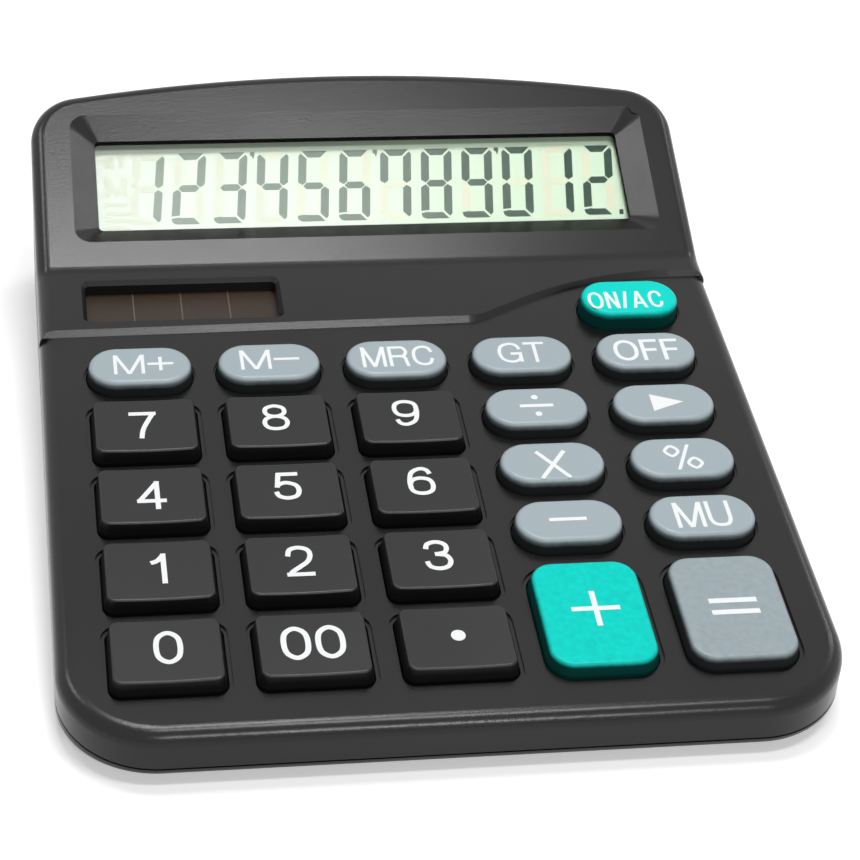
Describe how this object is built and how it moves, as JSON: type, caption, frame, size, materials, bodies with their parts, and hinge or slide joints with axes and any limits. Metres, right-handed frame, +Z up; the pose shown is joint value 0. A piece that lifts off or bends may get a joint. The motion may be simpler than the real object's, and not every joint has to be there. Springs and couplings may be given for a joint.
{
  "type": "desktop calculator",
  "caption": "Desktop calculator with a tilted display head, solar cell, large digit keys, oval function keys and a battery cover underneath.",
  "frame": {"origin": "on the table, below the middle of the body", "axes": "+X to the right, +Y to the back where the display is, +Z up"},
  "size_m": [0.1186, 0.1476, 0.0389],
  "materials": {
    "case": "fine matt texture",
    "base": "fine matt texture",
    "window": "clear, polished",
    "lcd": "reflective display, pale green",
    "white_plastic": "plain",
    "ribbon": "printed film",
    "solar": "dark brown under clear film",
    "copper_wire": "tinned ends",
    "board": "phenolic board with solder mask",
    "epoxy": "glossy drop",
    "capacitor": "sleeved can",
    "diode": "glass bead",
    "keypad_rubber": "translucent silicone",
    "battery": "printed sleeve",
    "contact_metal": "nickel plated",
    "red_wire": "soft sleeve",
    "black_wire": "soft sleeve",
    "foot_rubber": "matt",
    "screw": "zinc plated",
    "key_teal": "satin",
    "key_black": "satin",
    "key_grey": "satin"
  },
  "bodies": {
    "case": {"top_case": "case", "bottom_case": "base", "display_window": "window", "lcd_panel": "lcd", "display_clamp": "white_plastic", "lcd_ribbon": "ribbon", "solar_cell": "solar", "solar_wires": "copper_wire", "circuit_board": "board", "chip_blob": "epoxy", "capacitor": "capacitor", "diodes": "diode", "keypad": "keypad_rubber", "aa_battery": "battery", "battery_spring": "contact_metal", "battery_plate": "contact_metal", "wire_red": "red_wire", "wire_black": "black_wire", "foot_1": "foot_rubber", "foot_2": "foot_rubber", "foot_3": "foot_rubber", "foot_4": "foot_rubber", "board_screws": "screw", "display_screws": "screw", "case_screws": "screw"},
    "battery_cover": {"battery_cover": "base"},
    "key_7": {"key_7": "key_black"},
    "key_8": {"key_8": "key_black"},
    "key_9": {"key_9": "key_black"},
    "key_4": {"key_4": "key_black"},
    "key_5": {"key_5": "key_black"},
    "key_6": {"key_6": "key_black"},
    "key_1": {"key_1": "key_black"},
    "key_2": {"key_2": "key_black"},
    "key_3": {"key_3": "key_black"},
    "key_0": {"key_0": "key_black"},
    "key_00": {"key_00": "key_black"},
    "key_point": {"key_point": "key_black"},
    "key_plus": {"key_plus": "key_teal"},
    "key_equals": {"key_equals": "key_grey"},
    "key_minus": {"key_minus": "key_grey"},
    "key_mu": {"key_mu": "key_grey"},
    "key_multiply": {"key_multiply": "key_grey"},
    "key_percent": {"key_percent": "key_grey"},
    "key_divide": {"key_divide": "key_grey"},
    "key_arrow": {"key_arrow": "key_grey"},
    "key_m_plus": {"key_m_plus": "key_grey"},
    "key_m_minus": {"key_m_minus": "key_grey"},
    "key_mrc": {"key_mrc": "key_grey"},
    "key_gt": {"key_gt": "key_grey"},
    "key_off": {"key_off": "key_grey"},
    "key_on_ac": {"key_on_ac": "key_teal"}
  },
  "joints": [
    {"name": "battery_cover_slide", "type": "slide", "parent": "case", "child": "battery_cover", "axis": [0, 1, 0], "range_m": [0, 0.025]},
    {"name": "key_7_press", "type": "slide", "parent": "case", "child": "key_7", "axis": [0, 0.1045, -0.9945], "range_m": [0, 0.0012], "stiffness_N_per_m": 450, "deforming": ["keypad"]},
    {"name": "key_8_press", "type": "slide", "parent": "case", "child": "key_8", "axis": [0, 0.1045, -0.9945], "range_m": [0, 0.0012], "stiffness_N_per_m": 450, "deforming": ["keypad"]},
    {"name": "key_9_press", "type": "slide", "parent": "case", "child": "key_9", "axis": [0, 0.1045, -0.9945], "range_m": [0, 0.0012], "stiffness_N_per_m": 450, "deforming": ["keypad"]},
    {"name": "key_4_press", "type": "slide", "parent": "case", "child": "key_4", "axis": [0, 0.1045, -0.9945], "range_m": [0, 0.0012], "stiffness_N_per_m": 450, "deforming": ["keypad"]},
    {"name": "key_5_press", "type": "slide", "parent": "case", "child": "key_5", "axis": [0, 0.1045, -0.9945], "range_m": [0, 0.0012], "stiffness_N_per_m": 450, "deforming": ["keypad"]},
    {"name": "key_6_press", "type": "slide", "parent": "case", "child": "key_6", "axis": [0, 0.1045, -0.9945], "range_m": [0, 0.0012], "stiffness_N_per_m": 450, "deforming": ["keypad"]},
    {"name": "key_1_press", "type": "slide", "parent": "case", "child": "key_1", "axis": [0, 0.1045, -0.9945], "range_m": [0, 0.0012], "stiffness_N_per_m": 450, "deforming": ["keypad"]},
    {"name": "key_2_press", "type": "slide", "parent": "case", "child": "key_2", "axis": [0, 0.1045, -0.9945], "range_m": [0, 0.0012], "stiffness_N_per_m": 450, "deforming": ["keypad"]},
    {"name": "key_3_press", "type": "slide", "parent": "case", "child": "key_3", "axis": [0, 0.1045, -0.9945], "range_m": [0, 0.0012], "stiffness_N_per_m": 450, "deforming": ["keypad"]},
    {"name": "key_0_press", "type": "slide", "parent": "case", "child": "key_0", "axis": [0, 0.1045, -0.9945], "range_m": [0, 0.0012], "stiffness_N_per_m": 450, "deforming": ["keypad"]},
    {"name": "key_00_press", "type": "slide", "parent": "case", "child": "key_00", "axis": [0, 0.1045, -0.9945], "range_m": [0, 0.0012], "stiffness_N_per_m": 450, "deforming": ["keypad"]},
    {"name": "key_point_press", "type": "slide", "parent": "case", "child": "key_point", "axis": [0, 0.1045, -0.9945], "range_m": [0, 0.0012], "stiffness_N_per_m": 450, "deforming": ["keypad"]},
    {"name": "key_plus_press", "type": "slide", "parent": "case", "child": "key_plus", "axis": [0, 0.1045, -0.9945], "range_m": [0, 0.0012], "stiffness_N_per_m": 450, "deforming": ["keypad"]},
    {"name": "key_equals_press", "type": "slide", "parent": "case", "child": "key_equals", "axis": [0, 0.1045, -0.9945], "range_m": [0, 0.0012], "stiffness_N_per_m": 450, "deforming": ["keypad"]},
    {"name": "key_minus_press", "type": "slide", "parent": "case", "child": "key_minus", "axis": [0, 0.1045, -0.9945], "range_m": [0, 0.0012], "stiffness_N_per_m": 450, "deforming": ["keypad"]},
    {"name": "key_mu_press", "type": "slide", "parent": "case", "child": "key_mu", "axis": [0, 0.1045, -0.9945], "range_m": [0, 0.0012], "stiffness_N_per_m": 450, "deforming": ["keypad"]},
    {"name": "key_multiply_press", "type": "slide", "parent": "case", "child": "key_multiply", "axis": [0, 0.1045, -0.9945], "range_m": [0, 0.0012], "stiffness_N_per_m": 450, "deforming": ["keypad"]},
    {"name": "key_percent_press", "type": "slide", "parent": "case", "child": "key_percent", "axis": [0, 0.1045, -0.9945], "range_m": [0, 0.0012], "stiffness_N_per_m": 450, "deforming": ["keypad"]},
    {"name": "key_divide_press", "type": "slide", "parent": "case", "child": "key_divide", "axis": [0, 0.1045, -0.9945], "range_m": [0, 0.0012], "stiffness_N_per_m": 450, "deforming": ["keypad"]},
    {"name": "key_arrow_press", "type": "slide", "parent": "case", "child": "key_arrow", "axis": [0, 0.1045, -0.9945], "range_m": [0, 0.0012], "stiffness_N_per_m": 450, "deforming": ["keypad"]},
    {"name": "key_m_plus_press", "type": "slide", "parent": "case", "child": "key_m_plus", "axis": [0, 0.1045, -0.9945], "range_m": [0, 0.0012], "stiffness_N_per_m": 450, "deforming": ["keypad"]},
    {"name": "key_m_minus_press", "type": "slide", "parent": "case", "child": "key_m_minus", "axis": [0, 0.1045, -0.9945], "range_m": [0, 0.0012], "stiffness_N_per_m": 450, "deforming": ["keypad"]},
    {"name": "key_mrc_press", "type": "slide", "parent": "case", "child": "key_mrc", "axis": [0, 0.1045, -0.9945], "range_m": [0, 0.0012], "stiffness_N_per_m": 450, "deforming": ["keypad"]},
    {"name": "key_gt_press", "type": "slide", "parent": "case", "child": "key_gt", "axis": [0, 0.1045, -0.9945], "range_m": [0, 0.0012], "stiffness_N_per_m": 450, "deforming": ["keypad"]},
    {"name": "key_off_press", "type": "slide", "parent": "case", "child": "key_off", "axis": [0, 0.1045, -0.9945], "range_m": [0, 0.0012], "stiffness_N_per_m": 450, "deforming": ["keypad"]},
    {"name": "key_on_ac_press", "type": "slide", "parent": "case", "child": "key_on_ac", "axis": [0, 0.1045, -0.9945], "range_m": [0, 0.0012], "stiffness_N_per_m": 450, "deforming": ["keypad"]}
  ]
}
